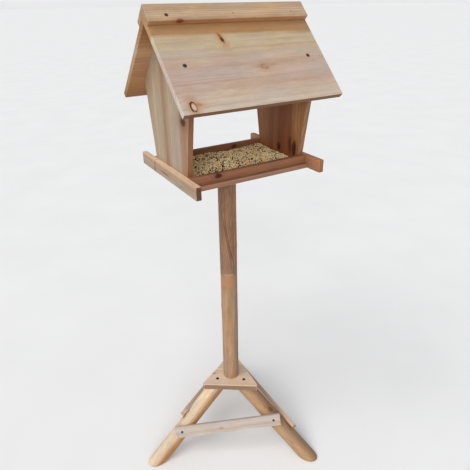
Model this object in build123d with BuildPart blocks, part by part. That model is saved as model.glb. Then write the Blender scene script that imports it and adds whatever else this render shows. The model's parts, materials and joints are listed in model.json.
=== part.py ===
from build123d import *
import math
import os

# Bird feeder on a pole: an open gabled house with a seed tray, on a two-part round pole
# and a three-legged stand. Millimetres, +Z up. The origin is on the ground, on the pole's
# axis. The ridge runs along X and the front of the house faces -Y.

# ---- boards and poles ----
BOARD = 12.0              # house boards
PLATE = 18.0              # triangular plates
POLE_D = 45.0             # pole sections and legs

# ---- heights ----
STAND_TOP = 208.0         # upper face of the base plate
POLE_JOINT = 565.0        # where the two pole sections meet
TRAY_BOTTOM = 854.0       # underside of the floor and of the side rails
ROOF_APEX = 1187.0        # line where the outer faces of the roof panels meet

# ---- house, measured from the middle of its ridge ----
HOUSE_X = 11.0            # the house sits a little off the pole's axis
HOUSE_Y = -3.0
SHELF_SHIFT = 4.0         # the tray and the feet of the walls sit this far behind the ridge
FLOOR = 10.0
RAIL_H = 29.0
RAIL_LENGTH = 290.0
INNER_WIDTH = 300.0       # between the side rails
CROSS_RAIL_SPAN = 190.0   # over the outer faces of the front and back rails
FLOOR_DEPTH = 205.0
WALL_TOP = 226.0          # width of a wall at the eaves
WALL_FOOT = 158.0         # width of a wall on the floor
ROOF_LENGTH = 370.0
ROOF_DROP = 224.0         # length of a roof panel down the slope
STRIP_FRONT = 40.0        # widths of the two ridge strips
STRIP_BACK = 32.0
SEED_DEPTH = 8.0

# ---- stand ----
STAND_TURN = -34.2        # the stand is turned this far against the house
PLATE_CORNER_R = 96.5     # pole's axis to a sharp corner of a triangular plate
PLATE_TRIM = 7.0          # length cut off each side at the corners
PLATE_HOLE_R = 45.0       # pole's axis to the holes near the corners
LEG_TOP_R = 37.5          # pole's axis to the middle of a leg under the plate
LEG_RUN = 219.0           # how far a leg leans out on its way to the ground
LEG_TWIST = 5.5           # a leg leans past its corner by this angle
FOOT_ROUND = 4.0

# ---- braces ----
BRACE_W = 31.0
BRACE_T = 12.0
BRACE_END = 20.0          # board past each screw
BRACE_SEAT = 0.9          # depth of the flat planed on a leg for a brace
BRACE_TRIM = 9.0          # corner sawn off at the low end

# ---- fasteners: length, shank diameter, head diameter ----
ROOF_SCREW = (32.0, 3.5, 7.0)
STRIP_SCREW = (21.0, 3.0, 6.0)
WALL_SCREW = (35.0, 3.5, 7.0)
LEG_SCREW = (45.0, 5.0, 9.5)
MOUNT_SCREW = (26.0, 4.0, 8.0)
POLE_SCREW = (65.0, 6.0, 12.0)
BRACE_SCREW = (36.0, 3.5, 7.0)
BRAD = (22.0, 1.6, 2.6)
HOLE_CLEARANCE = 0.1      # all round a screw

# ---- joint between the pole sections ----
STUD_D = 8.0
STUD_DOWN = 45.0          # stud inside the lower section
STUD_UP = 30.0            # stud inside the upper section
SLEEVE_D = 14.0
SLEEVE_LENGTH = 26.0
RUNNING_CLEARANCE = 0.05  # radial, stud in sleeve
BORE_SPARE = 3.0          # bore past the end of the stud

SLOPE = math.radians(45)
FLOOR_TOP = TRAY_BOTTOM + FLOOR
STAND_UNDER = STAND_TOP - PLATE
MOUNT_UNDER = TRAY_BOTTOM - PLATE
ROOF_INSIDE = ROOF_APEX - BOARD / math.cos(SLOPE)
RIDGE = Vector(HOUSE_X, HOUSE_Y, ROOF_APEX)
FRONT_OUT = Vector(0, -math.sin(SLOPE), math.cos(SLOPE))
BACK_OUT = Vector(0, math.sin(SLOPE), math.cos(SLOPE))
UP = Vector(0, 0, 1)

# Each slope's plane lies in the outer faces of the panels, with its y axis up the slope.
FRONT_SLOPE = Plane(origin=RIDGE, x_dir=(1, 0, 0), z_dir=FRONT_OUT)
BACK_SLOPE = Plane(origin=RIDGE, x_dir=(-1, 0, 0), z_dir=BACK_OUT)


def write(build, name):
    build.part.label = name
    export_step(build.part, f"parts/{name}.step")


# ---------------------------------------------------------------- fasteners

def countersunk(size, clearance=0.0):
    """A countersunk wood screw, or the hole for one: head at the origin, point down."""
    length, shank, head = size
    radius = shank / 2 + clearance
    head_radius = head / 2 + clearance
    cone = head_radius - radius
    point = 2 * radius
    with BuildPart() as screw:
        with BuildSketch(Plane.XZ):
            with BuildLine():
                Polyline(
                    (0, 0),
                    (head_radius, 0),
                    (radius, -cone),
                    (radius, point - length),
                    (0, -length - clearance),
                    close=True,
                )
            make_face()
        revolve(axis=Axis.Z)
        if not clearance and head > 4:
            with BuildSketch(Plane.XY):
                Rectangle(head * 0.55, head * 0.13)
                Rectangle(head * 0.13, head * 0.55)
            extrude(amount=-head * 0.2, mode=Mode.SUBTRACT)
    return screw.part


def fasteners(name, size, places):
    """Identical fasteners in one node, one at each place."""
    shape = countersunk(size)
    with BuildPart() as group:
        with Locations(*places):
            add(shape)
    write(group, name)


def drill(size, places):
    """Cuts the holes for those fasteners in the part being built."""
    shape = countersunk(size, HOLE_CLEARANCE)
    with Locations(*places):
        add(shape, mode=Mode.SUBTRACT)


def place(point, outward):
    """Where a fastener's head sits, and the way it faces."""
    return Plane(origin=point, z_dir=outward).location


def on_slope(slope, x, down):
    """The place of a fastener on a roof slope, below the ridge by down."""
    return Plane(origin=slope.from_local_coords((x, -down, 0)), z_dir=slope.z_dir).location


def raised(slope):
    return slope.offset(BOARD)


WALL_MIDDLE = INNER_WIDTH / 2 - BOARD / 2
ROOF_SCREW_DOWN = 121.0
FRONT_STRIP_DOWN = 15.0
BACK_STRIP_DOWN = 21.0
STRIP_FIXING_X = 145.0

roof_screw_places = [
    on_slope(slope, x, ROOF_SCREW_DOWN)
    for slope in (FRONT_SLOPE, BACK_SLOPE)
    for x in (-WALL_MIDDLE, WALL_MIDDLE)
]
strip_screw_places = [
    on_slope(raised(FRONT_SLOPE), -STRIP_FIXING_X, FRONT_STRIP_DOWN),
    on_slope(raised(BACK_SLOPE), STRIP_FIXING_X, BACK_STRIP_DOWN),
]
strip_brad_places = [
    on_slope(raised(FRONT_SLOPE), 0, FRONT_STRIP_DOWN),
    on_slope(raised(FRONT_SLOPE), STRIP_FIXING_X, FRONT_STRIP_DOWN),
    on_slope(raised(BACK_SLOPE), 0, BACK_STRIP_DOWN),
    on_slope(raised(BACK_SLOPE), -STRIP_FIXING_X, BACK_STRIP_DOWN),
]

WALL_SCREW_OFFSETS = (-50.0, 50.0)
wall_screw_places = [
    place((HOUSE_X + x, HOUSE_Y + SHELF_SHIFT + y, TRAY_BOTTOM), -UP)
    for x in (-WALL_MIDDLE, WALL_MIDDLE)
    for y in WALL_SCREW_OFFSETS
]

SIDE_BRAD_Y = 70.0
CROSS_RAIL_MIDDLE = CROSS_RAIL_SPAN / 2 - BOARD / 2
CROSS_BRAD_X = 100.0
RAIL_OUTSIDE = INNER_WIDTH / 2 + BOARD
rail_brad_places = [
    place((HOUSE_X + side * RAIL_OUTSIDE, HOUSE_Y + SHELF_SHIFT + y, height), (side, 0, 0))
    for side in (-1, 1)
    for y, height in (
        (-CROSS_RAIL_MIDDLE, (FLOOR_TOP + TRAY_BOTTOM + RAIL_H) / 2),
        (-SIDE_BRAD_Y, TRAY_BOTTOM + FLOOR / 2),
        (SIDE_BRAD_Y, TRAY_BOTTOM + FLOOR / 2),
        (CROSS_RAIL_MIDDLE, (FLOOR_TOP + TRAY_BOTTOM + RAIL_H) / 2),
    )
]
rail_brad_places += [
    place((HOUSE_X + x, HOUSE_Y + SHELF_SHIFT + y, TRAY_BOTTOM), -UP)
    for x in (-CROSS_BRAD_X, CROSS_BRAD_X)
    for y in (-CROSS_RAIL_MIDDLE, CROSS_RAIL_MIDDLE)
]

STAND_CORNERS = [STAND_TURN + angle for angle in (90, 210, 330)]
MOUNT_CORNERS = [angle + 60 for angle in STAND_CORNERS]


def polar(radius, angle, z):
    return Vector(radius * math.cos(math.radians(angle)), radius * math.sin(math.radians(angle)), z)


leg_screw_places = [place(polar(PLATE_HOLE_R, a, STAND_TOP), UP) for a in STAND_CORNERS]
mount_screw_places = [place(polar(PLATE_HOLE_R, a, MOUNT_UNDER), -UP) for a in MOUNT_CORNERS]
foot_screw_place = place((0, 0, STAND_UNDER), -UP)
top_screw_place = place((0, 0, TRAY_BOTTOM), UP)

# ---------------------------------------------------------------- legs and braces, as lines


def leg_line(corner):
    """The middle of a leg under the plate and on the ground."""
    top = polar(LEG_TOP_R, corner, STAND_UNDER)
    foot = polar(LEG_TOP_R, corner, 0) + polar(LEG_RUN, corner + LEG_TWIST, 0)
    return top, foot


def at_height(line, z):
    top, foot = line
    return top + (foot - top) * ((top.Z - z) / (top.Z - foot.Z))


def brace_plane(low_leg, low_height, high_leg, high_height):
    """The inner face of a brace: origin at its low screw, x to its high screw, z outward."""
    low = at_height(low_leg, low_height)
    high = at_height(high_leg, high_height)
    down_the_legs = (low_leg[1] - low_leg[0]) + (high_leg[1] - high_leg[0])
    outward = down_the_legs.cross(high - low).normalized()
    if outward.Z < 0:
        outward = -outward
    face = Plane(origin=low, x_dir=high - low, z_dir=outward).offset(POLE_D / 2 - BRACE_SEAT)
    return face, (high - low).length


rear_line, left_line, front_line = (leg_line(corner) for corner in STAND_CORNERS)

# Each brace is fixed low on one leg and high on the next, at these heights.
BRACES = {
    "front_brace": (left_line, 77.0, front_line, 101.0),
    "right_brace": (front_line, 69.0, rear_line, 101.0),
    "rear_brace": (rear_line, 77.0, left_line, 110.0),
}
brace_faces = {name: brace_plane(*fixing) for name, fixing in BRACES.items()}
brace_screw_places = [
    Plane(origin=face.from_local_coords((x, 0, BRACE_T)), z_dir=face.z_dir).location
    for face, span in brace_faces.values()
    for x in (0, span)
]

# ---------------------------------------------------------------- tray


def house_plane(z):
    """A level plane whose origin is at the middle of the tray."""
    return Plane(origin=(HOUSE_X, HOUSE_Y + SHELF_SHIFT, z))


def make_floor():
    with BuildPart() as floor_board:
        with BuildSketch(house_plane(TRAY_BOTTOM)):
            Rectangle(INNER_WIDTH, FLOOR_DEPTH)
        extrude(amount=FLOOR)
        drill(WALL_SCREW, wall_screw_places)
        drill(MOUNT_SCREW, mount_screw_places)
        drill(BRAD, rail_brad_places)
    write(floor_board, "floor_board")


def make_side_rail(name, side):
    with BuildPart() as rail:
        with BuildSketch(house_plane(TRAY_BOTTOM)):
            with Locations((side * (INNER_WIDTH + BOARD) / 2, 0)):
                Rectangle(BOARD, RAIL_LENGTH)
        extrude(amount=RAIL_H)
        drill(BRAD, rail_brad_places)
    write(rail, name)


def make_cross_rail(name, side):
    with BuildPart() as rail:
        with BuildSketch(house_plane(FLOOR_TOP)):
            with Locations((0, side * CROSS_RAIL_MIDDLE)):
                Rectangle(INNER_WIDTH, BOARD)
        extrude(amount=RAIL_H - FLOOR)
        drill(BRAD, rail_brad_places)
    write(rail, name)


def make_seed_bed():
    with BuildPart() as seed_bed:
        with BuildSketch(house_plane(FLOOR_TOP)):
            Rectangle(INNER_WIDTH - 2 * BOARD, CROSS_RAIL_SPAN - 2 * BOARD)
        extrude(amount=SEED_DEPTH)
        top_edges = seed_bed.edges().group_by(Axis.Z)[-1]
        chamfer(top_edges, length=SEED_DEPTH / 4)
    write(seed_bed, "seed_bed")


# ---------------------------------------------------------------- walls and roof

def make_wall(name, side):
    """A gabled end wall that narrows towards the floor."""
    inner_face = HOUSE_X + side * (INNER_WIDTH / 2 - BOARD)
    inside = Plane(origin=(inner_face, HOUSE_Y, 0), x_dir=(0, 1, 0), z_dir=(1, 0, 0))
    front_eave = SHELF_SHIFT - WALL_TOP / 2
    back_eave = SHELF_SHIFT + WALL_TOP / 2
    with BuildPart() as wall:
        with BuildSketch(inside):
            with BuildLine():
                Polyline(
                    (SHELF_SHIFT - WALL_FOOT / 2, FLOOR_TOP),
                    (SHELF_SHIFT + WALL_FOOT / 2, FLOOR_TOP),
                    (back_eave, ROOF_INSIDE - back_eave * math.tan(SLOPE)),
                    (0, ROOF_INSIDE),
                    (front_eave, ROOF_INSIDE + front_eave * math.tan(SLOPE)),
                    close=True,
                )
            make_face()
        extrude(amount=side * BOARD)
        drill(ROOF_SCREW, roof_screw_places)
        drill(WALL_SCREW, wall_screw_places)
    write(wall, name)


def make_roof_board(name, slope, start, width):
    """A board along a slope, from start below the ridge, with its outer face on the plane."""
    with BuildPart() as board:
        with BuildSketch(slope):
            with Locations((0, -start - width / 2)):
                Rectangle(ROOF_LENGTH, width)
        extrude(amount=-BOARD)
        drill(ROOF_SCREW, roof_screw_places)
        drill(STRIP_SCREW, strip_screw_places)
        drill(BRAD, strip_brad_places)
    write(board, name)


# ---------------------------------------------------------------- plates and pole

def make_plate(name, bottom, corners, corner_screw, corner_places, middle_place):
    """A triangular plate with trimmed corners, three corner holes and one in the middle."""
    side = PLATE_CORNER_R * math.sqrt(3)
    outline = []
    for i in range(3):
        corner = polar(PLATE_CORNER_R, corners[i], 0)
        for other in (corners[i - 1], corners[(i + 1) % 3]):
            neighbour = polar(PLATE_CORNER_R, other, 0)
            outline.append(corner + (neighbour - corner) * (PLATE_TRIM / side))
    with BuildPart() as plate:
        with BuildSketch(Plane.XY.offset(bottom)):
            with BuildLine():
                Polyline(*[(p.X, p.Y) for p in outline], close=True)
            make_face()
        extrude(amount=PLATE)
        drill(corner_screw, corner_places)
        drill(POLE_SCREW, [middle_place])
    write(plate, name)


def make_lower_pole():
    with BuildPart() as lower_pole:
        with BuildSketch(Plane.XY.offset(STAND_TOP)):
            Circle(POLE_D / 2)
        extrude(amount=POLE_JOINT - STAND_TOP)
        with BuildSketch(Plane.XY.offset(POLE_JOINT)):
            Circle(STUD_D / 2 + HOLE_CLEARANCE)
        extrude(amount=-STUD_DOWN - HOLE_CLEARANCE, mode=Mode.SUBTRACT)
        drill(POLE_SCREW, [foot_screw_place])
    write(lower_pole, "lower_pole")


def make_upper_pole():
    with BuildPart() as upper_pole:
        with BuildSketch(Plane.XY.offset(POLE_JOINT)):
            Circle(POLE_D / 2)
        extrude(amount=MOUNT_UNDER - POLE_JOINT)
        with BuildSketch(Plane.XY.offset(POLE_JOINT)):
            Circle(SLEEVE_D / 2 + HOLE_CLEARANCE)
        extrude(amount=SLEEVE_LENGTH + HOLE_CLEARANCE, mode=Mode.SUBTRACT)
        with BuildSketch(Plane.XY.offset(POLE_JOINT)):
            Circle(STUD_D / 2 + HOLE_CLEARANCE * 5)
        extrude(amount=STUD_UP + BORE_SPARE, mode=Mode.SUBTRACT)
        drill(POLE_SCREW, [top_screw_place])
    write(upper_pole, "upper_pole")


def make_pole_sleeve():
    """The metal sleeve in the upper section that turns on the stud."""
    with BuildPart() as pole_sleeve:
        with BuildSketch(Plane.XY.offset(POLE_JOINT)):
            Circle(SLEEVE_D / 2)
            Circle(STUD_D / 2 + RUNNING_CLEARANCE, mode=Mode.SUBTRACT)
        extrude(amount=SLEEVE_LENGTH)
    write(pole_sleeve, "pole_sleeve")


def make_pole_stud():
    with BuildPart() as pole_stud:
        with BuildSketch(Plane.XY.offset(POLE_JOINT - STUD_DOWN)):
            Circle(STUD_D / 2)
        extrude(amount=STUD_DOWN + STUD_UP)
        chamfer(pole_stud.edges().filter_by(GeomType.CIRCLE), length=1.0)
    write(pole_stud, "pole_stud")


# ---------------------------------------------------------------- legs and braces

def make_leg(name, line):
    """A round leg, cut level under the plate and on the ground, with flats for its braces."""
    top, foot = line
    lean = (foot - top).normalized()
    start = top - lean * POLE_D
    with BuildPart() as leg:
        with BuildSketch(Plane(origin=start, z_dir=lean)):
            Circle(POLE_D / 2)
        extrude(amount=(foot - top).length + 2 * POLE_D)
        split(bisect_by=Plane.XY.offset(STAND_UNDER), keep=Keep.BOTTOM)
        split(bisect_by=Plane.XY, keep=Keep.TOP)
        fillet(leg.edges().group_by(Axis.Z)[0], radius=FOOT_ROUND)
        for brace, (low_leg, _, high_leg, _) in BRACES.items():
            if line not in (low_leg, high_leg):
                continue
            face, span = brace_faces[brace]
            middle = 0 if line is low_leg else span
            with BuildSketch(face):
                with Locations((middle, 0)):
                    Rectangle(4 * POLE_D, BRACE_W + 2 * HOLE_CLEARANCE)
            extrude(amount=POLE_D, mode=Mode.SUBTRACT)
        drill(LEG_SCREW, leg_screw_places)
        drill(BRACE_SCREW, brace_screw_places)
    write(leg, name)


def make_brace(name):
    face, span = brace_faces[name]
    low_end = -BRACE_END
    high_end = span + BRACE_END
    half = BRACE_W / 2
    down = -1 if face.y_dir.Z > 0 else 1
    with BuildPart() as brace:
        with BuildSketch(face):
            with BuildLine():
                Polyline(
                    (low_end, -down * half),
                    (high_end, -down * half),
                    (high_end, down * half),
                    (low_end + BRACE_TRIM, down * half),
                    (low_end, down * (half - BRACE_TRIM)),
                    close=True,
                )
            make_face()
        extrude(amount=BRACE_T)
        drill(BRACE_SCREW, brace_screw_places)
    write(brace, name)


# ---------------------------------------------------------------- the whole feeder

os.makedirs("parts", exist_ok=True)

make_floor()
make_side_rail("left_rail", -1)
make_side_rail("right_rail", 1)
make_cross_rail("front_rail", -1)
make_cross_rail("back_rail", 1)
make_seed_bed()
make_wall("left_wall", -1)
make_wall("right_wall", 1)
make_roof_board("front_roof_panel", FRONT_SLOPE, 0, ROOF_DROP)
make_roof_board("back_roof_panel", BACK_SLOPE, BOARD, ROOF_DROP)
make_roof_board("front_ridge_strip", raised(FRONT_SLOPE), -BOARD, STRIP_FRONT)
make_roof_board("back_ridge_strip", raised(BACK_SLOPE), 0, STRIP_BACK)

make_plate("mounting_plate", MOUNT_UNDER, MOUNT_CORNERS, MOUNT_SCREW, mount_screw_places, top_screw_place)
make_upper_pole()
make_pole_sleeve()
make_pole_stud()
make_lower_pole()
make_plate("base_plate", STAND_UNDER, STAND_CORNERS, LEG_SCREW, leg_screw_places, foot_screw_place)
make_leg("rear_leg", rear_line)
make_leg("left_leg", left_line)
make_leg("front_leg", front_line)
for brace_name in BRACES:
    make_brace(brace_name)

fasteners("roof_screws", ROOF_SCREW, roof_screw_places)
fasteners("ridge_strip_screws", STRIP_SCREW, strip_screw_places)
fasteners("ridge_strip_brads", BRAD, strip_brad_places)
fasteners("wall_screws", WALL_SCREW, wall_screw_places)
fasteners("rail_brads", BRAD, rail_brad_places)
fasteners("mounting_plate_screws", MOUNT_SCREW, mount_screw_places)
fasteners("pole_top_screw", POLE_SCREW, [top_screw_place])
fasteners("pole_foot_screw", POLE_SCREW, [foot_screw_place])
fasteners("leg_screws", LEG_SCREW, leg_screw_places)
fasteners("brace_screws", BRACE_SCREW, brace_screw_places)
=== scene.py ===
import json
import math
import random

import bmesh
import bpy
import numpy as np
from mathutils import Matrix, Vector

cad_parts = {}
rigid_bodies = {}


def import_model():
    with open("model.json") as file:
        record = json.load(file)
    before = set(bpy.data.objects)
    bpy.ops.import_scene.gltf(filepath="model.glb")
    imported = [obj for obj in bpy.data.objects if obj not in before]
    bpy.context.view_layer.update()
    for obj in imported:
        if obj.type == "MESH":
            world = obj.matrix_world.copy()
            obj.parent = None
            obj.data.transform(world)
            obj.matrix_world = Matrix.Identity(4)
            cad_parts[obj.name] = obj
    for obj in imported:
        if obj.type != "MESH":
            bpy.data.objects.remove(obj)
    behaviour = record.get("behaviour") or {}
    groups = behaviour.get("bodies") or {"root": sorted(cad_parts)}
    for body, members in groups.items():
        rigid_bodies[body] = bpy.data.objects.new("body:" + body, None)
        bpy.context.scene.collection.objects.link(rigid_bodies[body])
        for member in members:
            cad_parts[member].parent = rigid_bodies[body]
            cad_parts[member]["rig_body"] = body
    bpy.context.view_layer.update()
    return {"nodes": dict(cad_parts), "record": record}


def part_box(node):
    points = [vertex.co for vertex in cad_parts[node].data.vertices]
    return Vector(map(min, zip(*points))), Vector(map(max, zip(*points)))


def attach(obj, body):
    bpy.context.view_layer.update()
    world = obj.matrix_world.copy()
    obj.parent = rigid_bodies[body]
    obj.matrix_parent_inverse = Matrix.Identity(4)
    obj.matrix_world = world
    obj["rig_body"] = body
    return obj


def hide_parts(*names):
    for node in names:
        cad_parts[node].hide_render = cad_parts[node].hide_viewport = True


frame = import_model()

NODES = frame["nodes"]
MM = 0.001
X = Vector((1, 0, 0))
Y = Vector((0, 1, 0))
Z = Vector((0, 0, 1))
SLOTS = {part["node"]: part["material_slot"] for part in frame["record"]["subparts"]}


# ---------------------------------------------------------------- shader nodes

class Graph:
    """Short calls that add nodes to one material."""

    def __init__(self, name):
        self.material = bpy.data.materials.new(name)
        self.material.use_nodes = True
        self.tree = self.material.node_tree
        self.shader = self.tree.nodes["Principled BSDF"]

    def feed(self, socket, value):
        if isinstance(value, bpy.types.NodeSocket):
            self.tree.links.new(value, socket)
        elif isinstance(value, (tuple, list, Vector)) and len(value) == 3 and socket.type == "RGBA":
            socket.default_value = (*value, 1)
        else:
            socket.default_value = value

    def math(self, operation, *values):
        node = self.tree.nodes.new("ShaderNodeMath")
        node.operation = operation
        for socket, value in zip(node.inputs, values):
            self.feed(socket, value)
        return node.outputs[0]

    def vector(self, operation, a, b):
        node = self.tree.nodes.new("ShaderNodeVectorMath")
        node.operation = operation
        self.feed(node.inputs[0], a)
        self.feed(node.inputs[1], b)
        return node.outputs["Value" if operation == "DOT_PRODUCT" else "Vector"]

    def combine(self, x, y, z):
        node = self.tree.nodes.new("ShaderNodeCombineXYZ")
        for socket, value in zip(node.inputs, (x, y, z)):
            self.feed(socket, value)
        return node.outputs[0]

    def separate(self, vector):
        node = self.tree.nodes.new("ShaderNodeSeparateXYZ")
        self.feed(node.inputs[0], vector)
        return node.outputs[0], node.outputs[1], node.outputs[2]

    def place(self):
        return self.tree.nodes.new("ShaderNodeTexCoord").outputs["Object"]

    def noise(self, vector, scale, detail=2.0, roughness=0.5):
        node = self.tree.nodes.new("ShaderNodeTexNoise")
        self.feed(node.inputs["Vector"], vector)
        node.inputs["Scale"].default_value = scale
        node.inputs["Detail"].default_value = detail
        node.inputs["Roughness"].default_value = roughness
        return node.outputs["Fac"]

    def ramp(self, value, stops):
        node = self.tree.nodes.new("ShaderNodeValToRGB")
        self.feed(node.inputs[0], value)
        points = node.color_ramp.elements
        while len(points) < len(stops):
            points.new(0.5)
        for point, (position, colour) in zip(points, stops):
            point.position = position
            point.color = (*colour, 1) if isinstance(colour, (tuple, list)) else (colour,) * 3 + (1,)
        return node.outputs[0]

    def mix(self, factor, a, b, blend="MIX"):
        node = self.tree.nodes.new("ShaderNodeMix")
        node.data_type = "RGBA"
        node.blend_type = blend
        self.feed(node.inputs[0], factor)
        self.feed(node.inputs[6], a)
        self.feed(node.inputs[7], b)
        return node.outputs[2]

    def rescale(self, value, low, high, new_low, new_high):
        node = self.tree.nodes.new("ShaderNodeMapRange")
        node.interpolation_type = "SMOOTHSTEP"
        for socket, number in zip(node.inputs, (value, low, high, new_low, new_high)):
            self.feed(socket, number)
        return node.outputs[0]

    def bump(self, height, distance, strength=1.0):
        node = self.tree.nodes.new("ShaderNodeBump")
        node.inputs["Strength"].default_value = strength
        node.inputs["Distance"].default_value = distance
        self.feed(node.inputs["Height"], height)
        return node.outputs[0]


# ---------------------------------------------------------------- wood

class Lay:
    """How a board lies: its origin, and the directions along and across the grain and through it."""

    def __init__(self, origin, along, across):
        self.origin = Vector(origin)
        self.along = Vector(along).normalized()
        self.across = Vector(across).normalized()
        self.through = self.along.cross(self.across)


def srgb(r, g, b):
    """A colour given as 0-255 screen values."""
    return tuple((v / 255) ** 2.2 for v in (r, g, b))


def bands(*stops):
    """Colours across a board, as (mm, r, g, b) with 0-255 screen values."""
    return [(mm, srgb(r, g, b)) for mm, r, g, b in stops]


# Shades of dry pine, from sapwood to a knot's rim.
PALE = srgb(206, 184, 162)
PINK = srgb(198, 168, 146)
TAN = srgb(186, 152, 116)
BROWN = srgb(168, 124, 82)
DARK = srgb(62, 34, 18)


# How every board's grain is drawn.
KNOT_FALL = -0.28       # how fast a knot's pull dies away, per square of its half size
KNOT_PUSH = 0.75        # how far the grain is pushed round a knot, as a share of its distance
SWAY = 26.0             # mm the grain wanders sideways
EDGE_WANDER = 22.0      # mm the bands of colour wander sideways
UNEVEN_RINGS = 9.0      # mm the rings' spacing varies by
GRAIN_DEPTH = 0.00012   # m, the bump of the fibres
# Colour of the painted shade in the holes round fasteners.
FASTENER_HOLE_SHADE = (0.035, 0.02, 0.012)


def knot(along, across, length, width, turn=0.0, core=DARK, rim=DARK, halo=0.4, glow=None,
         shift=(0.0, 0.0), depth=None):
    """A knot in a board, in the board's own mm.

    length, width: half sizes along and across the grain; turn: degrees it is turned by
    halo, glow: how strongly it colours the wood round it, and with what colour
    shift: where the core lies inside the rim, as shares of the half sizes
    depth: (through, half size) of a knot that shows on a board's edge
    """
    return dict(along=along, across=across, length=length, width=width, turn=math.radians(turn),
                core=core, rim=rim, halo=halo, glow=glow, shift=shift, depth=depth)


def wood(name, lay, tones, late, ring=4.0, pith=(40.0, 25.0), rings=0.5, fibre=0.35, knots=(), spots=(),
         wander=1.0, seed=0.0, rough=0.62, specks=0.0, streaks=0.25, slant=(0.0, 0.0), tilt=0.0, faces=(),
         gain=(1.0, 1.0, 1.0), mottle=0.07, wear_and_sheen=0.1, ends=(0.82, 0.77, 0.72), sides=None):
    """Pine sawn along the grain.

    tones: (mm across the board, colour) from one edge to the other; tilt: their slope along the board
    late: colour of the dark late wood; rings: how strongly it shows; ring: mm between rings
    pith: where the middle of the tree was, in mm across and through the board
    slant: how the pith runs off across and through the board, per mm along it, which draws pointed arches
    spots: (along, across, radius) of painted shade in the holes round fasteners, in mm
    wander: how unruly the grain is; specks, streaks: how strongly short and long dark marks show
    faces: (direction, tint, low, high) of the sides that differ, from facing them at all to fully
    fibre: how strongly the fibres show; mottle: uneven colour of weathered wood
    worn: how much rubbed edges lighten, with a painted highlight on the arrises; rough: the surface's usual
    roughness
    ends: tint of the end grain; sides: tint of every narrow side; gain: tint of the whole board
    seed: which of the patterns this board has
    """
    g = Graph(name)
    here = g.vector("SUBTRACT", g.place(), lay.origin)
    along, across, through = (g.math("MULTIPLY", g.vector("DOT_PRODUCT", here, way), 1 / MM)
                              for way in (lay.along, lay.across, lay.through))

    def scaled(u, v, w, shift=0.0, run=along, side=across):
        """The place in the board, stretched along the grain."""
        deep = g.math("ADD", g.math("MULTIPLY", through, w), seed + shift)
        return g.combine(g.math("MULTIPLY", run, u), g.math("MULTIPLY", side, v), deep)

    def grey(value):
        return g.combine(value, value, value)

    # The grain flows round each knot.
    bent = across
    marks = []
    for k in knots:
        du = g.math("SUBTRACT", along, k["along"])
        dv = g.math("SUBTRACT", across, k["across"])
        c, s = math.cos(k["turn"]), math.sin(k["turn"])
        lengthwise = g.math("ADD", g.math("MULTIPLY", du, c), g.math("MULTIPLY", dv, s))
        sideways = g.math("SUBTRACT", g.math("MULTIPLY", dv, c), g.math("MULTIPLY", du, s))
        ku = g.math("DIVIDE", lengthwise, k["length"])
        kv = g.math("DIVIDE", sideways, k["width"])
        ragged = g.math("SUBTRACT", g.noise(g.combine(along, across, seed + k["along"]), 0.2, 3.0), 0.5)
        square = g.math("ADD", g.math("MULTIPLY", ku, ku), g.math("MULTIPLY", kv, kv))
        su, sv = g.math("SUBTRACT", ku, k["shift"][0]), g.math("SUBTRACT", kv, k["shift"][1])
        inner = g.math("ADD", g.math("MULTIPLY", su, su), g.math("MULTIPLY", sv, sv))
        if k["depth"]:
            kw = g.math("DIVIDE", g.math("SUBTRACT", through, k["depth"][0]), k["depth"][1])
            square = g.math("ADD", square, g.math("MULTIPLY", kw, kw))
            inner = g.math("ADD", inner, g.math("MULTIPLY", kw, kw))
        far = g.math("ADD", g.math("SQRT", square), g.math("MULTIPLY", ragged, 0.7))
        deep = g.math("ADD", g.math("SQRT", inner), g.math("MULTIPLY", ragged, 0.5))
        reach = g.math("EXPONENT", g.math("MULTIPLY", square, KNOT_FALL))
        bent = g.math("SUBTRACT", bent, g.math("MULTIPLY", dv, g.math("MULTIPLY", reach, KNOT_PUSH)))
        marks.append((far, deep, reach, k))

    # Rings round the pith, with their dark late wood.
    drift = g.noise(scaled(0.0045 * wander, 0.022, 0.022, side=bent), 1.0, 3.0, 0.45)
    sway = g.math("MULTIPLY", g.math("SUBTRACT", drift, 0.5), SWAY * wander)
    run_off = g.math("SUBTRACT", sway, g.math("MULTIPLY", along, slant[0]))
    ry = g.math("ADD", g.math("SUBTRACT", bent, pith[0]), run_off)
    rz = g.math("SUBTRACT", g.math("SUBTRACT", through, pith[1]), g.math("MULTIPLY", along, slant[1]))
    radius = g.math("SQRT", g.math("ADD", g.math("MULTIPLY", ry, ry), g.math("MULTIPLY", rz, rz)))
    spacing = g.noise(g.combine(g.math("MULTIPLY", radius, 0.11), seed, 0.0), 1.0, 3.0)
    uneven = g.math("MULTIPLY", spacing, UNEVEN_RINGS)
    phase = g.math("FRACT", g.math("DIVIDE", g.math("ADD", radius, uneven), ring))
    latewood = g.ramp(phase, [(0.0, 0.0), (0.45, 0.12), (0.74, 0.8), (0.86, 1.0), (0.97, 0.3), (1.0, 0.0)])
    patch = g.noise(scaled(0.006, 0.045, 0.05, 7.3, side=bent), 1.0, 3.0)
    fibres = g.noise(scaled(0.035, 1.1, 1.1, side=bent), 1.0, 4.0, 0.65)
    fine = g.noise(scaled(0.12, 4.0, 4.0, side=bent), 1.0, 2.0)
    lines = g.noise(scaled(0.0035, 0.26, 0.26, 1.7, side=bent), 1.0, 5.0, 0.7)
    blotch = g.noise(scaled(0.014, 0.05, 0.05, 9.1), 1.0, 4.0, 0.6)
    hue = g.noise(scaled(0.009, 0.028, 0.03, 13.7), 1.0, 3.0)

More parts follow.
